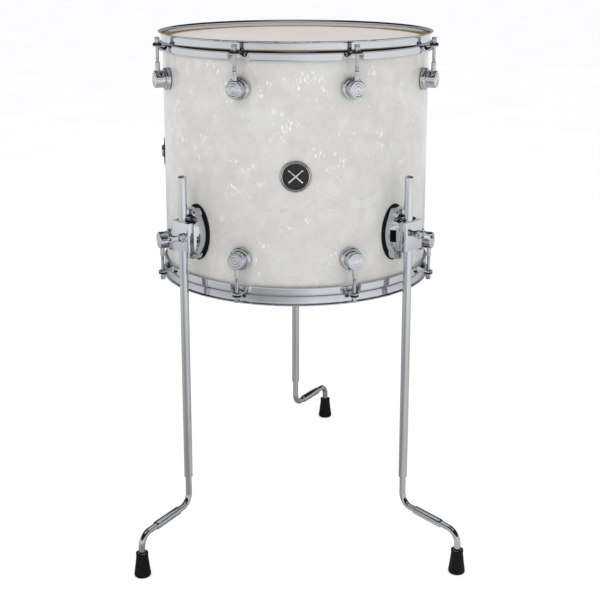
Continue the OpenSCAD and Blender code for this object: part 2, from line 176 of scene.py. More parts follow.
def lathe(profile, segments=48):
    """A closed outline of (radius, height) points turned about Z; points on the axis close the end."""
    a = full_turn(segments)
    circle = np.stack([np.cos(a), np.sin(a)], 1)
    verts, faces, rows = [], [], []
    for r, z in profile:
        if abs(r) < 1e-9:
            rows.append([len(verts)])
            verts.append((0.0, 0.0, z))
        else:
            rows.append(list(range(len(verts), len(verts) + segments)))
            verts += [(r * c, r * s, z) for c, s in circle]
    pairs = list(zip(rows, rows[1:]))
    if len(rows[0]) > 1 and len(rows[-1]) > 1:
        pairs.append((rows[-1], rows[0]))
    for low, high in pairs:
        for j in range(segments):
            k = (j + 1) % segments
            if len(low) == 1:
                faces.append((low[0], high[k], high[j]))
            elif len(high) == 1:
                faces.append((low[j], low[k], high[0]))
            else:
                faces.append((low[j], low[k], high[k], high[j]))
    return np.array(verts), faces


def cylinder(radius, z0, z1, segments=40):
    return lathe([(0, z0), (radius, z0), (radius, z1), (0, z1)], segments)


def arc(cx, cy, r, start, end, n=5):
    """Points on an arc, degrees, as (radius, height) pairs of a lathe outline."""
    return [(cx + r * cos(radians(a)), cy + r * sin(radians(a)))
            for a in np.linspace(start, end, n)]


def tube_along(path, radius, segments=32, ends=0.5):
    """A round bar along a path, with its end edges broken by a small chamfer."""
    path = [Vector(p) for p in path]
    side = Vector((1, 0, 0))
    rings = []
    n = len(path)
    for i, p in enumerate(path):
        t = (path[min(i + 1, n - 1)] - path[max(i - 1, 0)]).normalized()
        u = (side - t * side.dot(t)).normalized()
        w = t.cross(u)
        ring = [p + radius * (cos(a) * u + sin(a) * w)
                for a in full_turn(segments)]
        if i in (0, n - 1):
            inner = [p + (q - p) * (1 - ends / radius) for q in ring]
            inset = t * (ends if i == 0 else -ends)
            ring = [q + inset for q in ring]
            rings += [inner, ring] if i == 0 else [ring, inner]
        else:
            rings.append(ring)
    return loft(rings)


def rounded_box(size, radius, segments=3, centre=(0, 0, 0)):
    """A box with all its edges rounded."""
    bm = bmesh.new()
    bmesh.ops.create_cube(bm, size=1.0)
    bmesh.ops.scale(bm, vec=size, verts=bm.verts)
    bmesh.ops.bevel(bm, geom=bm.edges, offset=radius, segments=segments, profile=0.5, affect="EDGES")
    bmesh.ops.translate(bm, vec=centre, verts=bm.verts)
    return from_bmesh(bm)


def from_bmesh(bm):
    bm.verts.index_update()
    shape = np.array([v.co[:] for v in bm.verts]), [tuple(v.index for v in f.verts) for f in bm.faces]
    bm.free()
    return shape


# ---- objects


def add_object(name, data):
    o = bpy.data.objects.new(name, data)
    bpy.context.scene.collection.objects.link(o)
    return o


def mesh_of(name, shape):
    v, f = shape
    mesh = bpy.data.meshes.new(name)
    mesh.from_pydata([tuple(p) for p in np.asarray(v) * MM], [], f)
    mesh.validate()
    bm = bmesh.new()
    bm.from_mesh(mesh)
    bmesh.ops.recalc_face_normals(bm, faces=bm.faces)
    bm.to_mesh(mesh)
    bm.free()
    return mesh


def solid_work(shape, cut=(), add=(), bevel=0.0, bevel_angle=35, segments=3):
    """The shape joined with others, cut by others and with its sharp edges rounded."""
    objects = []

    def temporary(s):
        o = add_object("work", mesh_of("work", s))
        objects.append(o)
        return o

    base = temporary(shape)
    for others, operation in ((add, "UNION"), (cut, "DIFFERENCE")):
        for other in others:
            m = base.modifiers.new("boolean", "BOOLEAN")
            m.object, m.operation, m.solver = temporary(other), operation, "EXACT"
    if bevel:
        m = base.modifiers.new("bevel", "BEVEL")
        m.width, m.segments, m.limit_method = bevel * MM, segments, "ANGLE"
        m.angle_limit = radians(bevel_angle)
        m.use_clamp_overlap = True
    mesh = bpy.data.meshes.new_from_object(base.evaluated_get(bpy.context.evaluated_depsgraph_get()))
    v = np.array([p.co[:] for p in mesh.vertices]) / MM
    f = [tuple(p.vertices) for p in mesh.polygons]
    for o in objects:
        bpy.data.meshes.remove(o.data)
    bpy.data.meshes.remove(mesh)
    return v, f


def piece(name, shape, material, body, stands_for=None, smooth=32, place=None):
    """A finished piece that rides on a CAD body and stands for CAD nodes."""
    mesh = shape if isinstance(shape, bpy.types.Mesh) else mesh_of(name, shape)
    if not mesh.materials:
        mesh.materials.append(material)
        mesh.shade_smooth()
        mesh.set_sharp_from_angle(angle=radians(smooth))
    o = add_object(name, mesh)
    if place is not None:
        m = place.copy()
        m.translation = m.translation * MM
        o.matrix_world = m
    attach(o, body)
    if stands_for:
        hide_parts(*([stands_for] if isinstance(stands_for, str) else stands_for))
    return o


# ---- materials


def set_stops(elements, stops):
    while len(elements) < len(stops):
        elements.new(0.5)
    for element, (position, colour) in zip(elements, stops):
        element.position = position
        element.color = (*colour, 1) if isinstance(colour, tuple) else (colour, colour, colour, 1)


class Shader:
    """A node material with one Principled shader, built a node at a time."""

    def __init__(self, name, **sockets):
        self.material = bpy.data.materials.new(name)
        self.material.use_nodes = True
        self.tree = self.material.node_tree
        self.bsdf = self.tree.nodes["Principled BSDF"]
        for key, value in sockets.items():
            self.bsdf.inputs[key.replace("_", " ")].default_value = value

    def add(self, kind, **settings):
        """A node; settings that are sockets take a value or another node's output."""
        n = self.tree.nodes.new("ShaderNode" + kind)
        for key, value in settings.items():
            socket = n.inputs.get(key.replace("_", " ")) if key[0].isupper() else None
            if socket is None:
                setattr(n, key, value)
            elif isinstance(value, bpy.types.NodeSocket):
                self.tree.links.new(value, socket)
            else:
                socket.default_value = value
        return n

    def join(self, output, socket):
        self.tree.links.new(output, socket)

    def link(self, output, socket):
        self.tree.links.new(output, self.bsdf.inputs[socket])

    def coords(self):
        return self.add("TexCoord").outputs["Object"]

    def noise(self, scale, detail=4.0, vector=None, roughness=0.5, distortion=0.0):
        return self.add("TexNoise", Vector=vector or self.coords(), Scale=scale, Detail=detail,
                        Roughness=roughness, Distortion=distortion).outputs["Fac"]

    def ramp(self, factor, stops):
        """stops is a list of (position, grey or colour)."""
        n = self.add("ValToRGB", Fac=factor)
        set_stops(n.color_ramp.elements, stops)
        return n.outputs["Color"]

    def range(self, value, low, high, from_low=0.0, from_high=1.0):
        n = self.add("MapRange", Value=value)
        for key, v in (("From Min", from_low), ("From Max", from_high), ("To Min", low), ("To Max", high)):
            n.inputs[key].default_value = v
        return n.outputs["Result"]

    def mix(self, factor, a, b, blend="MIX"):
        n = self.tree.nodes.new("ShaderNodeMix")
        n.data_type, n.blend_type = "RGBA", blend
        for socket, value in ((n.inputs[0], factor), (n.inputs[6], a), (n.inputs[7], b)):
            if isinstance(value, bpy.types.NodeSocket):
                self.tree.links.new(value, socket)
            elif isinstance(value, tuple):
                socket.default_value = (*value, 1)
            else:
                socket.default_value = value
        return n.outputs[2]

    def bump(self, height, strength, distance_mm):
        n = self.add("Bump", Height=height, Strength=strength, Distance=distance_mm * MM)
        self.link(n.outputs["Normal"], "Normal")

    def vector_scaled(self, scale, rotation=(0, 0, 0)):
        n = self.add("Mapping", Vector=self.coords())
        n.inputs["Scale"].default_value = scale
        n.inputs["Rotation"].default_value = rotation
        return n.outputs["Vector"]


def chrome_material(name="chrome", tint=(0.62, 0.64, 0.67), rough=(0.03, 0.07)):
    s = Shader(name, Metallic=1.0)
    haze = s.noise(38, 5)
    s.link(s.range(haze, rough[0], rough[1], 0.35, 0.7), "Roughness")
    dull = tuple(0.93 * c for c in tint)
    s.link(s.ramp(s.noise(9, 3), [(0.35, dull), (0.65, tint)]), "Base Color")
    s.bump(s.noise(160, 2), 0.06, 0.08)
    return s.material


def mottled_material(name, scale, detail, colours, rough, bump=None, stretch=None, **sockets):
    """A finish whose colour and roughness follow one noise, drawn out for turned or spun metal.

    colours is a list of ramp stops. bump is a scale (None for the same noise), detail, strength and depth."""
    s = Shader(name, **sockets)
    pattern = s.noise(scale, detail, s.vector_scaled(stretch) if stretch else None)
    s.link(s.ramp(pattern, colours), "Base Color")
    s.link(s.range(pattern, *rough), "Roughness")
    if bump:
        fineness, fine_detail, strength, depth = bump
        s.bump(s.noise(fineness, fine_detail) if fineness else pattern, strength, depth)
    return s.material


def rubber_material(name, dark, light, scale):
    return mottled_material(name, scale, 5, [(0.35, dark), (0.7, light)], (0.52, 0.72),
                            (scale * 2.5, 3, 0.25, 0.12), IOR=1.45, Specular_IOR_Level=0.18)


def pearl_wrap_material():
    """White marine pearl: overlapping brushed patches, each with its own lie, and drifts of bright flakes."""
    s = Shader("pearl_wrap", Coat_Weight=0.85, Coat_Roughness=0.07, Coat_IOR=1.5, IOR=1.5)
    warp = s.add("TexNoise", Vector=s.coords(), Scale=22.0, Detail=3.0).outputs["Color"]
    bent = s.add("VectorMath", operation="MULTIPLY_ADD")
    s.join(warp, bent.inputs[0])
    bent.inputs[1].default_value = (0.03, 0.03, 0.03)
    s.join(s.coords(), bent.inputs[2])
    bent = bent.outputs[0]
    # each patch has a shade of its own and streaks that lie its own way
    patches = s.add("TexVoronoi", Vector=bent, Scale=62.0, Randomness=1.0, feature="SMOOTH_F1",
                    Smoothness=0.8)
    shade = s.add("SeparateColor", Color=patches.outputs["Color"]).outputs[0]
    lie = s.add("VectorRotate", rotation_type="AXIS_ANGLE", Vector=bent, Angle=s.range(shade, 0.2, 2.6))
    lie.inputs["Axis"].default_value = (0.35, 1.0, 0.15)
    streaks = s.add("Mapping", Vector=lie.outputs["Vector"])
    streaks.inputs["Scale"].default_value = (240, 240, 48)
    silk = s.noise(1.0, 4, streaks.outputs["Vector"], 0.6)
    clouds = s.noise(9, 5, bent, 0.55)
    base = s.ramp(s.mix(0.6, shade, clouds), [(0.22, (0.625, 0.617, 0.585)), (0.50, (0.668, 0.660, 0.630)),
                                              (0.78, (0.715, 0.710, 0.680))])
    base = s.mix(0.75, base, s.ramp(silk, [(0.3, 0.33), (0.7, 0.68)]), "SOFT_LIGHT")
    # flakes: small stretched cells, kept only where a broad noise is high, so that they lie in drifts
    slant = s.add("Mapping", Vector=bent)
    slant.inputs["Rotation"].default_value = (0.4, radians(-62), 0.3)
    slant.inputs["Scale"].default_value = (360, 360, 130)
    cells = s.add("TexVoronoi", Vector=slant.outputs["Vector"], Scale=1.0, Randomness=1.0)
    height = s.add("SeparateXYZ", Vector=s.coords()).outputs["Z"]
    upper = s.range(height, -0.055, 0.035, WRAP_Z[0] * MM, WRAP_Z[1] * MM)
    broad = s.add("Math", operation="ADD")
    s.join(s.noise(26, 4, bent, 0.7), broad.inputs[0])
    s.join(upper, broad.inputs[1])
    drift = s.ramp(broad.outputs[0], [(0.56, 0.0), (0.63, 1.0)])
    lot = s.add("SeparateColor", Color=cells.outputs["Color"]).outputs[1]
    chosen = s.ramp(lot, [(0.55, 0.0), (0.68, 1.0)])
    near = s.ramp(cells.outputs["Distance"], [(0.25, 1.0), (0.70, 0.0)])
    flakes = s.mix(1.0, s.mix(1.0, chosen, near, "MULTIPLY"), drift, "MULTIPLY")
    s.link(s.mix(flakes, base, (0.93, 0.93, 0.92)), "Base Color")
    s.link(s.range(shade, 0.46, 0.30), "Roughness")
    s.bump(s.mix(0.5, silk, shade), 0.05, 0.12)
    return s.material


def coated_head_material():
    """Sprayed coating with a fine grain, and outside it a tan grained ring where the bearing edge shows through
    the film, with painted shadow of the hoop.
    """
    s = Shader("coated_film", Subsurface_Weight=0.0, IOR=1.45)
    mottled = s.noise(10, 5)
    grain = s.noise(1400, 2)
    base = s.ramp(mottled, [(0.3, (0.800, 0.755, 0.680)), (0.7, (0.860, 0.815, 0.745))])
    coating = s.mix(0.22, base, s.ramp(grain, [(0.35, 0.40), (0.65, 0.62)]), "SOFT_LIGHT")
    flat = s.vector_scaled((1.0, 1.0, 0.0))
    from_axis = s.add("VectorMath", operation="DISTANCE")
    s.join(flat, from_axis.inputs[0])
    from_axis.inputs[1].default_value = (AXIS[0] * MM, AXIS[1] * MM, 0.0)
    # painted shadow: the tan ring near the edge stands partly for the hoop's shadow over the bearing edge seen
    # through the film
    edge_ring = s.range(from_axis.outputs["Value"], 0.0, 1.0, (SHELL_R - 10.0) * MM, (SHELL_R - 9.2) * MM)
    grained_tan = s.ramp(s.noise(60, 3), [(0.3, (0.42, 0.25, 0.11)), (0.7, (0.56, 0.36, 0.18))])
    s.link(s.mix(edge_ring, coating, grained_tan), "Base Color")
    s.link(s.range(grain, 0.50, 0.70), "Roughness")
    s.bump(s.mix(0.35, grain, s.noise(520, 3)), 0.35, 0.10)
    return s.material


def maple_material():
    s = Shader("maple", Coat_Weight=0.25, Coat_Roughness=0.2, IOR=1.5)
    fine = s.noise(1.0, 6, s.vector_scaled((120, 120, 9)), 0.65)
    broad = s.noise(1.0, 3, s.vector_scaled((22, 22, 3)))
    grained_tan = s.ramp(s.mix(0.4, fine, broad), [(0.3, (0.40, 0.25, 0.12)), (0.5, (0.56, 0.38, 0.20)),
                                            (0.7, (0.66, 0.48, 0.28))])
    s.link(grained_tan, "Base Color")
    s.link(s.range(fine, 0.38, 0.55), "Roughness")
    s.bump(fine, 0.15, 0.1)
    return s.material


CHROME = chrome_material()
ROD_CHROME = chrome_material("rod_chrome", (0.47, 0.49, 0.52), (0.06, 0.12))
BADGE_METAL = chrome_material("badge_metal", (0.90, 0.90, 0.90), (0.10, 0.18))
SATIN = mottled_material("satin_steel", 1.0, 3, [(0.3, (0.55, 0.55, 0.60)), (0.7, (0.68, 0.68, 0.73))],
                         (0.26, 0.42), (None, None, 0.12, 0.05), (60, 60, 5200), Metallic=1.0)
ZINC = mottled_material("zinc_steel", 90, 5, [(0.3, (0.50, 0.50, 0.50)), (0.7, (0.66, 0.66, 0.65))],
                        (0.24, 0.40), (420, 3, 0.1, 0.05), Metallic=1.0)
ALUMINIUM = mottled_material("aluminium", 1.0, 4, [(0.3, (0.66, 0.66, 0.67)), (0.7, (0.80, 0.80, 0.81))],
                             (0.28, 0.42), None, (30, 30, 2600), Metallic=1.0)
PEARL = pearl_wrap_material()
COATED = coated_head_material()
CLEAR = mottled_material("clear_film", 16, 4, [(0.3, (0.70, 0.70, 0.69)), (0.7, (0.76, 0.76, 0.75))],
                         (0.22, 0.34), (700, 2, 0.06, 0.05), IOR=1.45)
MAPLE = maple_material()
FOOT_RUBBER = rubber_material("foot_rubber", (0.004, 0.0045, 0.0045), (0.010, 0.0105, 0.0105), 160)
GASKET = rubber_material("gasket_rubber", (0.006, 0.006, 0.007), (0.015, 0.015, 0.016), 300)
NYLON = rubber_material("nylon", (0.010, 0.010, 0.011), (0.022, 0.022, 0.024), 380)
BLACK_GLOSS = mottled_material(
    "black_plate", 240, 5, [(0.45, (0.004, 0.004, 0.005)), (0.75, (0.012, 0.012, 0.013))],
    (0.18, 0.32), Coat_Weight=0.15, Coat_Roughness=0.08, IOR=1.4)

# ---- shell and heads


def shell_wrap():
    """The wrap, with rolled-over cut edges and a lapped seam at the back."""
    segments, seam_h, lap = 360, 0.35, 14.0
    z0, z1 = WRAP_Z
    inner = SHELL_R - 0.8
    profile = [(inner, z0), (SHELL_R - 0.25, z0)] + arc(SHELL_R - 0.25, z0 + 0.25, 0.25, -90, 0, 3)[1:]
    profile += [(SHELL_R, z) for z in np.linspace(z0 + 8, z1 - 8, 9)]
    profile += arc(SHELL_R - 0.25, z1 - 0.25, 0.25, 0, 90, 3) + [(inner, z1)]
    v, f = lathe(profile, segments)
    piece("shell_wrap_skin", moved((v, f), shift(*AXIS, 0)), PEARL, "drum", "shell_wrap")
    # the lap is a thin strip of the same wrap that ends in a straight cut
    width = math.degrees(lap / SHELL_R)
    rings = []
    for a in np.linspace(0, width, 10):
        proud = seam_h if a < width * 0.93 else 0.0
        m = at_side(180 - 24 + a)
        ring = [(0, -(SHELL_R - 0.3), z0 + 0.4), (0, -(SHELL_R + proud), z0 + 0.4),
                (0, -(SHELL_R + proud), z1 - 0.4), (0, -(SHELL_R - 0.3), z1 - 0.4)]
        rings.append([m @ Vector(p) for p in ring])
    piece("wrap_seam", loft([[tuple(p) for p in r] for r in rings]), PEARL, "drum")


def batter_head():
    """Coated film with its dished collar and the step round its edge, where the tan ring of bearing edge and
    painted shadow lies.
    """
    piece("batter_film_coated", moved(head_shape(), at_end(True)), COATED, "drum", "batter_head_film", 60)


def resonant_head():
    piece("resonant_film_clear", moved(head_shape(), at_end(False)), CLEAR, "drum", "resonant_head_film", 60)


def head_shape():
    film, edge = 0.3, 200.4
    shoulder_r, top = 2.9, -10.5 + film
    outer = [(0, top)] + [(r, top) for r in (60, 120, 170, 190, 197)]
    outer += arc(edge, top - shoulder_r, shoulder_r, 90, 0, 9)
    outer += [(edge + shoulder_r, top - 6.5)]
    inner = [(r - film, z) if z < top - 1 else (r, z - film) for r, z in outer[::-1]]
    foot = [(edge + shoulder_r, top - 9.0), (edge + shoulder_r - film, top - 9.0)]
    return lathe(outer + foot + inner[1:], 192)


def flesh_hoops():
    """The folded metal channel that holds the film's edge."""
    r0, r1, z0, z1 = 203.55, 205.65, -16.3, -25.0
    outline = [(r0, z0), (r1 - 0.7, z0)] + arc(r1 - 0.7, z0 - 0.7, 0.7, 90, 0, 5)[1:]
    outline += arc(r1 - 0.7, z1 + 0.7, 0.7, 0, -90, 5) + [(r0 + 0.5, z1), (r0, z1 + 0.5)]
    shape = lathe(outline, 192)
    piece("batter_flesh_ring", moved(shape, at_end(True)), ALUMINIUM, "drum", "batter_flesh_hoop")
    piece("resonant_flesh_ring", moved(shape, at_end(False)), ALUMINIUM, "drum", "resonant_flesh_hoop")


# ---- hoops

HOOP_T = 2.0
WALL = 204.8  # centre line of the wall
SKIRT = 206.9  # centre line of the skirt
STEP_Z = -13.0, -16.8  # from and to where the wall's line steps out to the skirt's
EAR_PLANE = -17.0
SKIRT_FOOT = -26.1
EAR_HALF = 7.0
FLARE_END = 18.5  # distance from the rod at which the skirt starts to flare
FLARE_REACH = 7.0


def smoothstep(x):
    x = min(max(x, 0.0), 1.0)
    return x * x * (3 - 2 * x)


def skirt_tail():
    """Centre line from halfway down the step to the skirt's foot."""
    z0, z1 = STEP_Z
    slope = [(WALL + (SKIRT - WALL) * smoothstep(k), z0 + (z1 - z0) * k) for k in np.linspace(0.5, 1, 6)]
    return slope + [(SKIRT, z1 + (SKIRT_FOOT - z1) * k / 6) for k in range(1, 7)]


def ear_tail(reach):
    """Centre line from halfway down the step out along the ear."""
    r0, r1, z0 = (WALL + SKIRT) / 2, SKIRT + 1.8, sum(STEP_Z) / 2
    points = [(r0 + (r1 - r0) * k / 5, z0 + (EAR_PLANE - z0) * sin(k / 5 * pi / 2))
              for k in range(6)]
    return points + [(r1 + (reach - r1) * k / 6, EAR_PLANE) for k in range(1, 7)]


def swung(one, other, t):
    """A line between two others, found by turning and stretching each of its stretches."""
    one, other = np.array(one), np.array(other)
    steps = [np.diff(line, axis=0) for line in (one, other)]
    angles = [np.arctan2(s[:, 1], s[:, 0]) for s in steps]
    lengths = [np.hypot(*s.T) for s in steps]
    angle = angles[0] * (1 - t) + angles[1] * t
    length = lengths[0] * (1 - t) + lengths[1] * t
    step = np.stack([length * np.cos(angle), length * np.sin(angle)], 1)
    start = one[0] * (1 - t) + other[0] * t
    return [tuple(start)] + [tuple(p) for p in start + np.cumsum(step, axis=0)]


def hoop_section(s):
    """Closed section of the hoop at arc length s, in mm, from the nearest rod."""
    s = abs(s)
    half = HOOP_T / 2
    head = [(LIP_R - half - x, -half) for x in (0, 0.5, 1.0)]
    head += arc(WALL + 2.5, -3.5, 2.5, 90, 180, 6)
    z0, z1 = STEP_Z
    head += [(WALL, -6.5), (WALL, -10.0)]
    head += [(WALL + (SKIRT - WALL) * smoothstep(k), z0 + (z1 - z0) * k) for k in np.linspace(0, 0.42, 6)]
    # the skirt's end swings up and outwards until it lies flat as the root of the ear
    if s < EAR_HALF - 0.6:
        reach = ROD_R + sqrt(EAR_HALF ** 2 - s * s) - half
    else:
        edge = min(max((FLARE_END - s) / (FLARE_END - EAR_HALF + 0.6), 0), 1)
        reach = SKIRT + FLARE_REACH + (ROD_R + 2.2 - SKIRT - FLARE_REACH) * edge ** 2.2
    t = smoothstep((s - EAR_HALF + 0.5) / (FLARE_END - EAR_HALF + 0.5))
    line = np.array(head + swung(ear_tail(reach), skirt_tail(), t))
    step = np.gradient(line, axis=0)
    step /= np.linalg.norm(step, axis=1)[:, None]
    normal = np.stack([-step[:, 1], step[:, 0]], 1)
    caps = []
    for end, way in ((0, -1), (-1, 1)):
        caps.append([line[end] + half * 0.98 * (normal[end] * cos(a) + way * step[end] * sin(a))
                     for a in (radians(50), radians(90), radians(130))])
    one, other = line + normal * half, line - normal * half
    return np.vstack([one, caps[1], other[::-1], caps[0][::-1]])


def hoop_shape():
    """The section swept round, with the skirt notched and flanged out into an ear at each rod."""
    near = np.concatenate([np.arange(0, 21, 0.55), np.linspace(21, ROD_R * radians(22.5), 24)])
    offsets = np.concatenate([-near[:0:-1], near[:-1]])
    rings = []
    for a in ROD_ANGLES:
        for s in offsets:
            angle = radians(a) + s / ROD_R
            section = hoop_section(s)
            rings.append(np.stack([section[:, 0] * sin(angle), -section[:, 0] * cos(angle),
                                   section[:, 1]], 1))
    rings = np.array(rings)
    rows, cols = rings.shape[:2]
    swept = rings.reshape(-1, 3), grid_faces(rows, cols, wrap_rows=True)
    holes = [moved(cylinder(3.5, -22, -13, 32),
                   turned(a) @ shift(0, -ROD_R, 0))
             for a in ROD_ANGLES]
    return solid_work(swept, cut=[joined(holes)])


def hoops():
    shape = hoop_shape()
    piece("top_hoop_flanged", moved(shape, at_end(True)), CHROME, "drum", "top_hoop", 40)
    piece("bottom_hoop_flanged", moved(shape, at_end(False)), CHROME, "drum", "bottom_hoop", 40)


# ---- tension rods and lugs


def tension_rod_shape():
    """Threaded rod with a coned flange and a square head, drawn about its own axis with the rim at z = 0."""
    pitch, depth, turns_from, length = 1.06, 0.32, 25.0, 52.0
    seat = -SEAT_DROP
    segments, per_turn, shank_r = 24, 6, 2.42
    rings = []
    z = seat - length
    while z < seat - turns_from:
        ring = []
        fade = smoothstep((z - seat + length) / 1.5) * smoothstep((seat - turns_from - z) / 1.5)
        for k in range(segments):
            a = 2 * pi * k / segments
            phase = ((z / pitch) - k / segments) % 1.0
            r = 2.5 - depth * fade * abs(2 * phase - 1) - 0.7 * (1 - smoothstep((z - seat + length) / 0.8))
            ring.append((r * cos(a), r * sin(a), z))
        rings.append(ring)
        z += pitch / per_turn
    for z in np.linspace(seat - turns_from, seat + 0.5, 5):
        turns = [2 * pi * k / segments for k in range(segments)]
        rings.append([(shank_r * cos(a), shank_r * sin(a), z) for a in turns])
    flange = lathe([(0, seat), (5.6, seat)] + arc(5.55, seat + 0.45, 0.45, -90, 60, 5)
                   + [(3.9, seat + 2.3), (3.5, seat + 3.0), (0, seat + 3.0)], 48)
    head = rounded_box((6.35, 6.35, 8.9), 0.55, 3, (0, 0, seat + 5.75))
    return joined([loft(rings), flange, head])


def tension_rods():
    mesh = mesh_of("tension_rod", moved(tension_rod_shape(), shift(0, -ROD_R, 0)))
    for end, top in (("top", True), ("bottom", False)):
        for i, a in enumerate(ROD_ANGLES):
            # turned over, the bottom rods count the other way round the drum
            name = f"{end}_rod_{i + 1}"
            place = at_end(top) @ turned(a if top else 180 - a)
            piece(name + "_threaded", mesh, ROD_CHROME, name, name, 40, place)


def rod_washers():
    """Black nylon washers whose lip wraps round the rod's flange."""
    low, seat = -SEAT_DROP - 1.48, -SEAT_DROP - 0.02
    lip = seat + 1.4
    outline = [(3.0, low), (6.3, low), (6.5, low + 0.2), (6.5, lip - 0.2), (6.3, lip), (5.9, lip),
               (5.75, lip - 0.2), (5.75, seat), (3.0, seat)]
    ring = moved(lathe(outline, 40), shift(0, -ROD_R, 0))
    piece("nylon_washers", repeated(ring, rod_places()), NYLON, "drum", "rod_washers")


def on_shell(shape, gap, top):
    """Bends the back of a shape drawn outwards (height along -Y) to lie on the shell, fading out at top."""
    v, f = shape
    v = v.copy()
    curve = np.sqrt((SHELL_R + gap) ** 2 - v[:, 0] ** 2) - (SHELL_R + gap)
    share = np.clip((top + v[:, 1]) / (top - SHELL_R), 0, 1)
    v[:, 1] -= curve * share
    return v, f


def lug_parts():
    """Foot, turret, sleeve and gasket of one lug, drawn at the front with the lug's middle at z = 0."""
    r0 = SHELL_R + 0.8
    foot = lathe([(0, r0), (LUG_FOOT_R - 0.3, r0), (LUG_FOOT_R, r0 + 0.3), (LUG_FOOT_R, 208.2)]
                 + arc(LUG_FOOT_R - 2.6, 208.2, 2.6, 10, 80, 6)
                 + [(TURRET_R + 0.9, 211.0), (TURRET_R - 0.2, 210.7), (TURRET_R - 0.2, 211.6),
                    (0, 211.6)], 64)
    foot = on_shell(moved(foot, OUTWARDS), 0.8, 208.2)
    face = 225.2
    turret = lathe([(0, 210.9), (TURRET_R - 0.5, 210.9), (TURRET_R, 211.4), (TURRET_R, face - 1.6)]
                   + arc(TURRET_R - 1.6, face - 1.6, 1.6, 0, 90, 6)
                   + [(10.0, face), (9.5, face - 0.2), (9.0, face - 0.38), (8.5, face - 0.2),
                      (8.0, face - 0.04), (6.4, face - 0.04), (5.9, face - 0.2), (5.4, face - 0.36),
                      (4.9, face - 0.2), (4.4, face - 0.05), (2.6, face - 0.1), (1.3, face - 0.25),
                      (0, face - 0.3)], 64)
    turret = moved(turret, OUTWARDS)
    top = TURRET_R + 12.5
    sleeve = lathe([(2.56, -8), (3.1, -8), (3.5, -7.6), (3.5, top - 4.6), (3.2, top - 4.3), (3.2, top - 3.9),
                    (3.5, top - 3.6), (3.5, top - 0.5), (3.1, top), (2.8, top), (2.56, top - 0.3)], 40)
    sleeve = moved(sleeve, shift(0, -ROD_R, 0))
    gasket = lathe([(0, SHELL_R), (LUG_FOOT_R - 0.5, SHELL_R), (LUG_FOOT_R - 0.3, SHELL_R + 0.35),
                    (LUG_FOOT_R - 0.5, SHELL_R + 0.75), (0, SHELL_R + 0.75)], 64)
    gasket = on_shell(moved(gasket, OUTWARDS), 0.0, 300)
    return foot, turret, sleeve, gasket


def lugs():
    lug_places = [m @ shift(0, 0, -LUG_DROP) for m in rod_places()]
    for shape, name, node, material, smooth in zip(
            lug_parts(), ("lug_pedestals", "lug_turret_heads", "nut_sleeves", "lug_gasket_rings"),
            ("lug_feet", "lug_turrets", "swivel_nut_sleeves", "lug_gaskets"), (CHROME, CHROME, SATIN, GASKET),
            (28, 28, 28, 40)):
        piece(name, repeated(shape, lug_places), material, "drum", node, smooth)


# ---- badge and vent


def paint_shade_black(o, faces):
    """Paints the chosen faces of a piece black with the gaskets' rubber, as painted shade in recesses and gaps.
    """
    o.data.materials.append(GASKET)
    o.data.polygons.foreach_set("material_index", [int(x) for x in faces])


def round_plate(radius, thick, hole=0.0):
    """A round plate with a soft edge, drawn outwards from the shell."""
    profile = [(hole, SHELL_R), (radius, SHELL_R), (radius, SHELL_R + thick - 0.5)]
    profile += arc(radius - 0.5, SHELL_R + thick - 0.5, 0.5, 0, 90, 4) + [(hole, SHELL_R + thick)]
    profile[1:1] = [(r, SHELL_R) for r in np.linspace(hole, radius, 7)[1:-1]]
    profile += [(r, SHELL_R + thick) for r in np.linspace(radius - 0.8, hole, 7)[:-1]]
    if hole:
        profile = profile[:-1] if profile[-1] == profile[0] else profile
    return bent_to_shell(moved(lathe(profile, 64), OUTWARDS))


def bent_to_shell(shape):
    v, f = shape
    v = v.copy()
    v[:, 1] -= np.sqrt(SHELL_R ** 2 - v[:, 0] ** 2) - SHELL_R
    return v, f


def stick(angle):
    """A small raised drumstick: a tapered shaft and an olive-shaped tip."""
    stations = [(-13.5, 0.95), (-13.0, 1.25), (4, 1.15), (9.5, 0.75), (10.4, 0.7), (11.2, 1.15), (12.4, 1.45),
                (13.5, 1.1), (14.1, 0.4)]
    rings = []
    for z, r in stations:
        rings.append([(r * cos(a), -(SHELL_R + 1.35) - 0.62 * r * sin(a), z)
                      for a in full_turn(20)])
    turn = turned(angle, "Y")
    return moved(loft(rings), turn)


def badge():
    place = at_side(0, MID_Z)
    piece("badge_disc", moved(round_plate(22.5, 1.5), place), BLACK_GLOSS, "drum", "badge_plate")
    base = SHELL_R + 1.2
    rings = []
    for outer, inner, rise in ((22.0, 21.0, 0.7), (20.0, 19.0, 0.6)):
        rings.append(lathe([(inner, base)] + [(inner, base + rise)]
                           + arc((inner + outer) / 2, base + rise, (outer - inner) / 2, 180, 0, 7)[1:-1]
                           + [(outer, base + rise), (outer, base)], 96))
    rings = [bent_to_shell(moved(r, OUTWARDS)) for r in rings]
    sticks = [bent_to_shell(stick(a)) for a in (-48, 48)]
    piece("badge_device", moved(joined(rings + sticks), place), BADGE_METAL, "drum", "badge_emblem")


def vent():
    place = at_side(-90, MID_Z)
    piece("vent_disc", moved(round_plate(22.5, 1.5, 6.05), place), BLACK_GLOSS, "drum", "vent_plate")
    top = SHELL_R + 1.5
    profile = [(4.5, 194.4), (6.0, 194.4), (6.0, top - 0.2), (9.0, top - 0.2), (9.5, top + 0.3)]
    profile += arc(7.2, top + 1.6, 2.6, -12, 90, 7) + arc(6.6, top + 2.1, 2.1, 100, 180, 6)
    grommet = moved(lathe(profile, 48), OUTWARDS)
    flare = moved(lathe([(4.5, 194.2), (8.2, 194.2), (8.5, 194.6), (8.2, 195.0), (4.6, 195.4)], 48), OUTWARDS)
    piece("vent_eyelet", moved(joined([grommet, flare]), place), CHROME, "drum", "vent_grommet")


# ---- leg brackets, drawn at the front


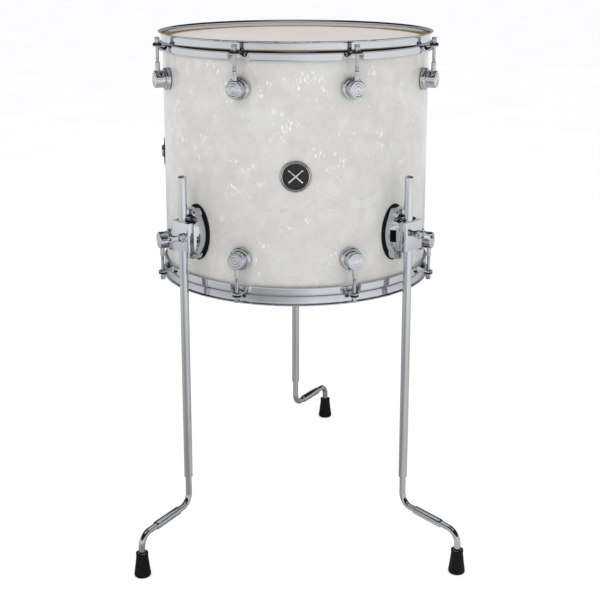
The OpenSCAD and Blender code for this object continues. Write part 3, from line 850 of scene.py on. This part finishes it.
def squared(x, power):
    """A sine or cosine pushed towards its ends, which squares up an oval."""
    return copysign(abs(x) ** power, x)


def oval(width, height, n=96):
    """Upright oval, as (x, z) points."""
    return [(width / 2 * cos(a), height / 2 * sin(a))
            for a in full_turn(n)]


CLAMP_X = -16.3, 22.5
PIN_X = -13.0
BOLT_X = 12.5
CLAMP_HALF = 21.0
SPLIT = 0.75
KNUCKLE = 7.0  # half height of the base's knuckle
POCKET_SIZE = (12.0, 9.5, 18.0)  # spring pocket in the hinge side
POCKET = (CLAMP_X[0] - 2.0, -LEG_R + 10.75, 0.0)
LEG_BORE = 6.42


def upright(x, r, z0, z1, radius, segments=40):
    """A vertical cylinder at x and distance r from the drum's axis."""
    return moved(cylinder(radius, z0, z1, segments), shift(x, -r, 0))


def spoke(x, r0, r1, radius, z=0.0, segments=40):
    """A cylinder that points outwards."""
    return moved(cylinder(radius, r0, r1, segments), shift(x, 0, z) @ OUTWARDS)


def bracket_gasket_shape():
    rings = [[(x, -y, z) for x, z in oval(w, h)] for w, h, y in (
        (51.4, 83.4, SHELL_R), (52.0, 84.0, SHELL_R + 0.3), (52.0, 84.0, SHELL_R + 0.9),
        (51.4, 83.4, SHELL_R + 1.3), (44.0, 76.0, SHELL_R + 1.4))]
    return bent_to_shell(loft(rings))


def body_shape():
    """Body of the bracket: walls that run straight from an oval on the shell to the clamp's outline."""
    x0, x1 = CLAMP_X
    top = LEG_R - SPLIT
    rings = []
    for k in (0.0, 0.02, 0.05, 0.15, 0.3, 0.45, 0.6, 0.75, 0.88, 0.96, 1.0):
        half_w, half_h = 22 + ((x1 - x0) / 2 - 22) * k, 38 + (CLAMP_HALF - 38) * k
        middle, power = (x0 + x1) / 2 * k, 2 / (2 + 6 * k ** 2.5)
        crown = 2.6 * sin(pi * k) ** 0.8 - 0.5 * (k == 0)
        r = SHELL_R + 1.25 + (top - SHELL_R - 1.25) * k
        ring = []
        for a in full_turn(96):
            c, n = cos(a), sin(a)
            x = middle + squared(c, power) * (half_w + crown)
            z = squared(n, power) * (half_h + crown)
            sag = (sqrt(SHELL_R ** 2 - x * x) - SHELL_R) * max(0.0, 1 - 3 * k)
            ring.append((x, -(r + sag), z))
        rings.append(ring)
    return loft(rings)


def boss_shape():
    """Flat-faced bosses above and below the clamp, in one piece."""
    rings = []
    for half_w, half_z, r in ((17.0, 38.0, 207.0), (16.6, 37.6, 213.0), (16.3, 37.2, 219.6),
                              (16.1, 37.0, 220.4), (15.7, 36.6, 220.9), (15.1, 36.0, 221.0)):
        ring = []
        for a in full_turn(72):
            c, n = cos(a), sin(a)
            x = squared(c, 0.35) * half_w
            ring.append((x, -r, squared(n, 0.8) * half_z))
        rings.append(ring)
    return loft(rings)


def bracket_base_shape():
    knuckle = upright(PIN_X, LEG_R, -KNUCKLE + 0.2, KNUCKLE - 0.2, 4.0)
    # concave notches between the bosses and the clamp
    saddles = [moved(cylinder(3.6, -30, 30),
                     shift(0, -(LEG_R - 6.5), s * 24.8) @ Matrix.Rotation(pi / 2, 4, "Y"))
               for s in (-1, 1)]
    cuts = saddles + [
        upright(0, LEG_R, -60, 60, LEG_BORE),
        upright(PIN_X, LEG_R, -60, 60, 2.05),
        upright(PIN_X, LEG_R, KNUCKLE, 60, 4.4),
        upright(PIN_X, LEG_R, -60, -KNUCKLE, 4.4),
        rounded_box(POCKET_SIZE, 0.8, 2, POCKET),
        spoke(BOLT_X, LEG_R - 16, LEG_R - 5.5, 7.6),
        spoke(BOLT_X, LEG_R - 6, LEG_R + 5, 4.3),
    ]
    return solid_work(body_shape(), add=[boss_shape(), knuckle], cut=cuts, bevel=0.5)


def shaded_faces(shape, radius):
    """For each face, whether it is inside the spring pocket or on the split plane at this radius: the faces
    that get black painted shade.
    """
    v, f = shape
    reach = np.array(POCKET_SIZE) / 2 + 0.15
    inside = (np.abs(v - POCKET) < reach).all(axis=1)
    on_split = np.abs(v[:, 1] + radius) < 0.12
    return [all(inside[i] for i in face) or all(on_split[i] for i in face) for face in f]


def clamp_shape():
    r, x0, x1, crown = 4.2, *CLAMP_X, 0.9
    back, front = LEG_R + SPLIT, LEG_R + 11.0 - crown
    left = [(x0 + r - r * cos(a), front - r + r * sin(a))
            for a in np.linspace(0, radians(80), 7)]
    right = [(x0 + x1 - x, y) for x, y in left[::-1]]
    share = np.linspace(0, 1, 12)[1:-1]
    start, end = left[-1], right[0]
    face = [(start[0] + (end[0] - start[0]) * k, start[1] + crown * 4 * k * (1 - k)) for k in share]
    outline = [(x0, back)] + left + face + right + [(x1, back)]
    block = loft([[(x, -(back + (y - back) * (1 - 0.09 * (z / CLAMP_HALF) ** 2)), z) for x, y in outline]
                  for z in np.linspace(-CLAMP_HALF, CLAMP_HALF, 15)])
    knuckles = [upright(PIN_X, LEG_R, s * (KNUCKLE + 0.2), s * CLAMP_HALF, 4.0) for s in (-1, 1)]
    cuts = [
        upright(0, LEG_R, -60, 60, LEG_BORE),
        upright(PIN_X, LEG_R, -60, 60, 2.05),
        upright(PIN_X, LEG_R, -KNUCKLE, KNUCKLE, 4.4),
        spoke(BOLT_X, LEG_R - 5, LEG_R + 20, 3.3),
    ]
    return solid_work(block, add=knuckles, cut=cuts, bevel=0.9)


def bolt_shape():
    """Clamp bolt with a round head inside the base and thread rings where the nut runs."""
    r0 = LEG_R - 14
    profile = [(0, r0), (4.6, r0), (5.0, r0 + 0.4), (5.0, r0 + 3.6), (4.6, r0 + 4.0), (3.0, r0 + 4.0),
               (3.0, LEG_R + 8)]
    for k in range(8):
        profile += [(3.0, LEG_R + 8 + k), (2.62, LEG_R + 8.5 + k)]
    profile += [(2.9, LEG_R + 15.6), (2.4, LEG_R + 16.0), (0, LEG_R + 16.0)]
    return moved(lathe(profile, 32), shift(BOLT_X, 0, 0) @ OUTWARDS)


# along a wing: distance from the nut's axis, depth, half height and half thickness
WING_STATIONS = (
    (3.8, 3.4, 5.2, 3.0), (6.0, 3.9, 4.8, 2.8), (8.5, 4.8, 4.3, 2.5), (10.6, 5.8, 4.2, 2.3),
    (12.0, 6.5, 4.6, 2.2), (13.8, 7.3, 5.3, 2.1), (15.6, 8.1, 5.6, 2.0), (17.6, 9.0, 5.3, 1.9),
    (19.4, 9.8, 4.3, 1.7), (20.8, 10.4, 2.8, 1.3), (21.4, 10.7, 1.5, 0.8))
WING_HOLE = 15.6, -8.1  # where its hole is pierced


def wing_nut_shape():
    """Hub and two pierced wings swept outwards, drawn outwards about its own axis from y = 0."""
    hub = moved(lathe([(3.05, 0.1), (6.1, 0.1), (6.5, 0.5), (6.4, 2.4), (5.9, 5.2), (5.3, 6.1), (4.6, 6.4),
                       (4.0, 6.0), (3.5, 5.2), (3.05, 5.0)], 48), OUTWARDS)
    wings = []
    for side in (-1, 1):
        rings = []
        for x, depth, half_h, half_t in WING_STATIONS:
            ring = []
            for a in full_turn(24):
                c, n = cos(a), sin(a)
                # a rounded bar: nearly flat faces with soft edges
                u = squared(c, 0.55) * half_t
                w = squared(n, 0.75) * half_h
                ring.append((side * (x - 0.35 * u), -(depth + u), w))
            rings.append(ring)
        wings.append(loft(rings))
    drill = moved(cylinder(2.5, -8, 8, 36), OUTWARDS)
    holes = [moved(drill, shift(s * WING_HOLE[0], WING_HOLE[1], 0) @ turned(s * 24))
             for s in (-1, 1)]
    return solid_work(hub, add=wings, cut=holes + [spoke(0, -2, 20, 3.05)], bevel=0.35, bevel_angle=40)


WING_TILT = {"left": -14, "right": 16, "rear": 8}


def brackets():
    places = {s: at_side(LEG_ANGLES[s], BRACKET_Z) for s in SIDES}
    base, pad = bracket_base_shape(), bracket_gasket_shape()
    castings = piece("bracket_castings", repeated(base, places.values()), CHROME, "drum",
                     "bracket_bases", 30)
    # painted shade: the spring pocket and the split plane between base and clamp are painted black
    paint_shade_black(castings, shaded_faces(base, LEG_R - SPLIT) * len(places))
    piece("bracket_gasket_pads", repeated(pad, places.values()), GASKET, "drum",
          "bracket_gaskets", 30)
    pin = moved(lathe([(0, -22), (1.6, -22), (2.0, -21.6), (2.0, 21.6), (1.6, 22), (0, 22)], 32),
                shift(PIN_X, -LEG_R, 0))
    piece("hinge_pins", repeated(pin, places.values()), ZINC, "drum", "clamp_hinge_pins")
    clamp = mesh_of("clamp_casting", clamp_shape())
    bolt = mesh_of("clamp_bolt_turned", bolt_shape())
    wing_nut = mesh_of("wing_nut_cast", wing_nut_shape())
    for s in SIDES:
        piece("clamp_casting_" + s, clamp, CHROME, "clamp_" + s, "clamp_" + s, 30, places[s])
        piece("clamp_bolt_turned_" + s, bolt, ZINC, "clamp_" + s, "clamp_bolt_" + s, 30, places[s])
        nut = places[s] @ shift(BOLT_X, -LEG_R - 11.0, 0)
        nut = nut @ turned(WING_TILT[s], "Y")
        piece("wing_nut_cast_" + s, wing_nut, CHROME, "wing_nut_" + s, "wing_nut_" + s, 35, nut)


# ---- legs, drawn about the leg's axis

LEG_TUBE_R = 6.35
ROD_BAR_R = 4.75
ROD_IN_TUBE = 45.0
CORNER_R = 18.0
KNEE_DROP = 329  # from the bottom rim down to the corner between a leg and its arm
ANKLE_DROP = 332  # from the bottom rim down to the corner between the arm and the foot
COLLAR_SPAN = 0.23, 0.72  # where the collar starts and ends, as shares of the arm


def leg_path():
    """The bent rod's centre line, from inside the tube to inside the foot."""
    reach = arm_reach()
    knee = Vector((0, 0, BOTTOM_RIM - KNEE_DROP))
    ankle = Vector((0, -reach, BOTTOM_RIM - ANKLE_DROP))
    points = [Vector((0, 0, TUBE_LOW + ROD_IN_TUBE)), Vector((0, 0, TUBE_LOW - 2))]
    points += corner(points[0], knee, ankle)
    points += corner(knee, ankle, Vector((0, -reach, 8)))
    return points + [Vector((0, -reach, 30)), Vector((0, -reach, 8))]


def corner(before, at, after, n=16):
    """Points on the bend between two straight stretches."""
    u, w = (before - at).normalized(), (after - at).normalized()
    half = u.angle(w) / 2
    centre = at + (u + w).normalized() * (CORNER_R / sin(half))
    start = at + u * (CORNER_R / math.tan(half)) - centre
    turn = start.rotation_difference(at + w * (CORNER_R / math.tan(half)) - centre)
    axis, angle = turn.to_axis_angle()
    return [centre + Matrix.Rotation(angle * t, 3, axis) @ start for t in np.linspace(0, 1, n)]


def arm_reach():
    foot = np.mean(node_box("foot_rear"), axis=0)
    return float(np.hypot(*(foot - joint_place("leg_turn_rear"))[:2]))


def leg_tube_shape():
    """Tube with a turned-in top end and a chamfered bottom edge."""
    r, z0, z1 = LEG_TUBE_R, TUBE_LOW, TUBE_HIGH
    profile = [(4.85, z0 + 0.4), (5.2, z0), (r - 0.4, z0), (r, z0 + 0.4)]
    profile += [(r, z) for z in np.linspace(z0 + 20, z1 - 12, 8)]
    profile += [(r, z1 - 2.6)] + arc(r - 2.6, z1 - 2.6, 2.6, 8, 82, 7) + [(3.5, z1 - 0.1), (3.3, z1 - 0.5)]
    profile += [(3.3, z1 - 9), (4.85, z1 - 11)]
    return lathe(profile, 48)


def collar_shape():
    """Thicker sleeve round the middle of the arm, with drawn-in ends."""
    arm = Vector((0, -arm_reach(), KNEE_DROP - ANKLE_DROP))
    length = arm.length
    z0, z1 = (share * length for share in COLLAR_SPAN)
    r = LEG_TUBE_R
    profile = [(4.8, z0), (5.0, z0 - 0.1), (5.5, z0 + 0.5), (r - 0.15, z0 + 1.6), (r, z0 + 2.6),
               (r, z1 - 2.6), (r - 0.15, z1 - 1.6), (5.5, z1 - 0.5), (5.0, z1 + 0.1), (4.8, z1)]
    turn = Vector((0, 0, 1)).rotation_difference(arm.normalized()).to_matrix().to_4x4()
    return moved(lathe(profile, 48), shift(0, 0, BOTTOM_RIM - KNEE_DROP) @ turn)


def foot_shape():
    """Rubber foot: a tapered boot with a rounded tread and a lip round its mouth."""
    h = node_box("foot_rear")[1][2]
    outer = [(0, 0.9), (7.5, 0.9), (8.2, 0.0), (9.4, 0.0)] + arc(9.6, 2.6, 2.6, -88, 8, 7)
    outer += [(12.15, 5.4), (11.6, 0.22 * h), (10.9, 0.37 * h), (10.1, 0.54 * h), (9.4, 0.70 * h),
              (8.9, h - 7.0), (8.8, h - 4.6)]
    outer += arc(8.1, h - 1.1, 1.05, 15, 110, 6)
    outer += [(7.0, h - 0.6), (6.2, h - 1.6), (5.6, h - 3.4), (4.82, h - 4.4), (4.82, 8.0), (0, 8.0)]
    return lathe(outer, 64)


def foot_ring_shape():
    """The metal washer that shows inside the mouth of the foot."""
    h = node_box("foot_rear")[1][2]
    return lathe([(4.8, h - 3.0), (6.1, h - 2.6), (6.5, h - 1.6), (6.2, h - 1.2), (5.6, h - 2.0),
                  (4.8, h - 2.2)], 48)


def legs():
    tube = mesh_of("leg_tube_drawn", leg_tube_shape())
    rod = mesh_of("leg_rod_bent", tube_along(leg_path(), ROD_BAR_R, 36))
    collar = mesh_of("leg_collar_swaged", collar_shape())
    foot, ring = foot_shape(), foot_ring_shape()
    for s in SIDES:
        axis = joint_place("leg_turn_" + s)
        low, high = node_box("foot_" + s)
        dx, dy = ((low + high) / 2 - axis)[:2]
        turn = Matrix.Rotation(math.atan2(dx, -dy), 4, "Z")
        place = shift(axis[0], axis[1], 0) @ turn
        drawn = piece("leg_tube_drawn_" + s, tube, CHROME, "leg_tube_" + s, "leg_tube_" + s, 40, place)
        if s == SIDES[0]:
            # painted shade: the inside of the tube's bore is painted black for the dark opening at its top
            shaded_bore = [hypot(*v.co[:2]) < 3.35 * MM for v in tube.vertices]
            paint_shade_black(drawn, [all(shaded_bore[i] for i in f.vertices) for f in tube.polygons])
        piece("leg_rod_bent_" + s, rod, CHROME, "leg_" + s, "leg_rod_" + s, 40, place)
        piece("leg_collar_swaged_" + s, collar, CHROME, "leg_" + s, "leg_collar_" + s, 40, place)
        at_foot = place @ shift(0, -arm_reach(), 0)
        piece("rubber_foot_" + s, moved(foot, at_foot), FOOT_RUBBER, "leg_" + s, "foot_" + s, 50)
        piece("foot_ring_" + s, moved(ring, at_foot), SATIN, "leg_" + s, None, 50)


# ---- CAD nodes that stay, with their finish


def finish_cad_nodes():
    for node, material in (("shell_plies", MAPLE), ("lug_screws", ZINC), ("bracket_screws", ZINC)):
        o = frame["nodes"][node]
        o.data.materials.clear()
        o.data.materials.append(material)
        m = o.modifiers.new("soft_edges", "BEVEL")
        m.width, m.segments, m.limit_method, m.angle_limit = 0.3 * MM, 2, "ANGLE", radians(40)


# ---- camera, lights and floor


def camera():
    data = bpy.data.cameras.new("camera")
    data.lens, data.sensor_width = 71.5, 36.0
    data.shift_x, data.shift_y = 0.0073, -0.15
    cam = add_object("camera", data)
    cam.location = (AXIS[0] * MM, AXIS[1] * MM - 1.8373, BOTTOM_RIM * MM + 0.522)
    cam.rotation_euler = (pi / 2 - 0.2294, 0, 0)
    bpy.context.scene.camera = cam


def area_light(name, place, target, size, power, colour=(1, 1, 1)):
    data = bpy.data.lights.new(name, "AREA")
    data.shape, data.size, data.size_y = "RECTANGLE", *size
    data.energy, data.color = power, colour
    o = add_object(name, data)
    o.location = place
    o.rotation_euler = (Vector(target) - Vector(place)).to_track_quat("-Z", "Y").to_euler()
    o.visible_glossy = False


def round_the_compass(tree, vector, stops):
    """A grey by direction, seen from above: 0 left, 0.25 front, 0.5 right, 0.75 back, 1 left."""
    gradient = tree.nodes.new("ShaderNodeTexGradient")
    gradient.gradient_type = "RADIAL"
    tree.links.new(vector, gradient.inputs["Vector"])
    ramp = tree.nodes.new("ShaderNodeValToRGB")
    tree.links.new(gradient.outputs["Fac"], ramp.inputs["Fac"])
    set_stops(ramp.color_ramp.elements, stops)
    return ramp.outputs["Color"]


def world_light():
    """White behind the drum, soft even light on it, and a studio with a dark ceiling in its reflections."""
    world = bpy.data.worlds.new("studio")
    world.use_nodes = True
    bpy.context.scene.world = world
    tree = world.node_tree
    links = tree.links

    def background(colour, strength):
        n = tree.nodes.new("ShaderNodeBackground")
        n.inputs["Color"].default_value, n.inputs["Strength"].default_value = (*colour, 1), strength
        return n

    tree.nodes.remove(tree.nodes["Background"])
    seen = background((1, 1, 1), 1.0)
    even = background((0.97, 0.98, 1.0), 0.62)
    mirrored = background((1, 1, 1), 1.0)
    height = tree.nodes.new("ShaderNodeSeparateXYZ")
    coords = tree.nodes.new("ShaderNodeTexCoord")
    links.new(coords.outputs["Generated"], height.inputs[0])
    ramp = tree.nodes.new("ShaderNodeValToRGB")
    links.new(height.outputs["Z"], ramp.inputs["Fac"])
    stops = ((0.0, (0.50, 0.30, 0.13)), (0.035, (0.50, 0.30, 0.13)), (0.05, (0.80, 0.84, 0.90)),
             (0.34, (0.85, 0.88, 0.93)), (0.42, (0.03, 0.03, 0.035)), (0.94, (0.02, 0.02, 0.025)),
             (0.965, (0.80, 0.82, 0.85)))
    set_stops(ramp.color_ramp.elements, stops)
    around = round_the_compass(tree, coords.outputs["Generated"], (
        (0.0, 0.80), (0.12, 0.95), (0.25, 1.0), (0.40, 0.95), (0.50, 0.80), (0.62, 0.50), (0.75, 0.40),
        (0.88, 0.45), (1.0, 0.80)))
    both = tree.nodes.new("ShaderNodeMix")
    both.data_type, both.blend_type = "RGBA", "MULTIPLY"
    both.inputs[0].default_value = 1.0
    links.new(ramp.outputs["Color"], both.inputs[6])
    links.new(around, both.inputs[7])
    links.new(both.outputs[2], mirrored.inputs["Color"])
    ray = tree.nodes.new("ShaderNodeLightPath")
    glossy, camera_ray = tree.nodes.new("ShaderNodeMixShader"), tree.nodes.new("ShaderNodeMixShader")
    links.new(ray.outputs["Is Glossy Ray"], glossy.inputs[0])
    links.new(even.outputs[0], glossy.inputs[1])
    links.new(mirrored.outputs[0], glossy.inputs[2])
    links.new(ray.outputs["Is Camera Ray"], camera_ray.inputs[0])
    links.new(glossy.outputs[0], camera_ray.inputs[1])
    links.new(seen.outputs[0], camera_ray.inputs[2])
    links.new(camera_ray.outputs[0], tree.nodes["World Output"].inputs[0])


def studio():
    bpy.context.scene.view_settings.view_transform = "Standard"
    world_light()
    area_light("key", (-1.2, -1.9, 2.3), (0, 0, 0.5), (1.2, 1.2), 12)
    area_light("fill", (1.9, -1.5, 1.5), (0, 0, 0.5), (1.4, 1.4), 6)
    area_light("overhead", (0.2, -0.2, 2.6), (0, 0, 0.5), (1.6, 1.2), 9)
    floor()


def floor():
    mesh = bpy.data.meshes.new("floor")
    size = 30
    corners = [(-size, -size, 0), (size, -size, 0), (size, size, 0), (-size, size, 0)]
    mesh.from_pydata(corners, [], [(0, 1, 2, 3)])
    plane = add_object("floor", mesh)
    s = Shader("pale_floor", Roughness=0.8, Specular_IOR_Level=0.0, Emission_Strength=1.0)
    pale = s.ramp(s.noise(3, 3), [(0.3, (0.675, 0.675, 0.68)), (0.7, (0.695, 0.695, 0.695))])
    # painted shade and painted reflection: seen only in the chrome, the floor is darker near the drum, and
    # painted uneven studio tones lie round it
    away = s.add("VectorMath", operation="LENGTH")
    s.join(s.coords(), away.inputs[0])
    away = s.range(away.outputs["Value"], 0.0, 1.0, 0.0, 4.0)
    shade_near_drum = s.ramp(away, [(0.07, 0.52), (0.25, 0.62), (0.37, 0.78), (0.70, 0.98)])
    patches = round_the_compass(s.tree, s.coords(), (
        (0.0, 0.80), (0.09, 0.68), (0.175, 0.46), (0.235, 0.66), (0.29, 1.0), (0.42, 1.0), (0.50, 0.84),
        (0.60, 0.72), (0.68, 0.50), (0.75, 0.40), (0.84, 0.50), (0.92, 0.66), (1.0, 0.80)))
    patches = s.mix(1.0, patches, (1.25, 1.25, 1.25), "MULTIPLY")
    patches = s.mix(s.ramp(away, [(0.55, 1.0), (0.80, 0.25)]), (1.0, 1.0, 1.0), patches)
    mirrored = s.mix(1.0, shade_near_drum, patches, "MULTIPLY")
    # glossy rays see the painted reflection tones, other rays the pale floor
    glossy = s.add("LightPath").outputs["Is Glossy Ray"]
    s.link(s.mix(glossy, pale, mirrored), "Emission Color")
    s.link(s.mix(glossy, s.mix(1.0, pale, (0.7, 0.7, 0.7), "MULTIPLY"), (0.0, 0.0, 0.0)), "Base Color")
    mesh.materials.append(s.material)


# ---- the build

camera()
studio()
shell_wrap()
batter_head()
resonant_head()
flesh_hoops()
hoops()
tension_rods()
rod_washers()
lugs()
badge()
vent()
brackets()
legs()
finish_cad_nodes()
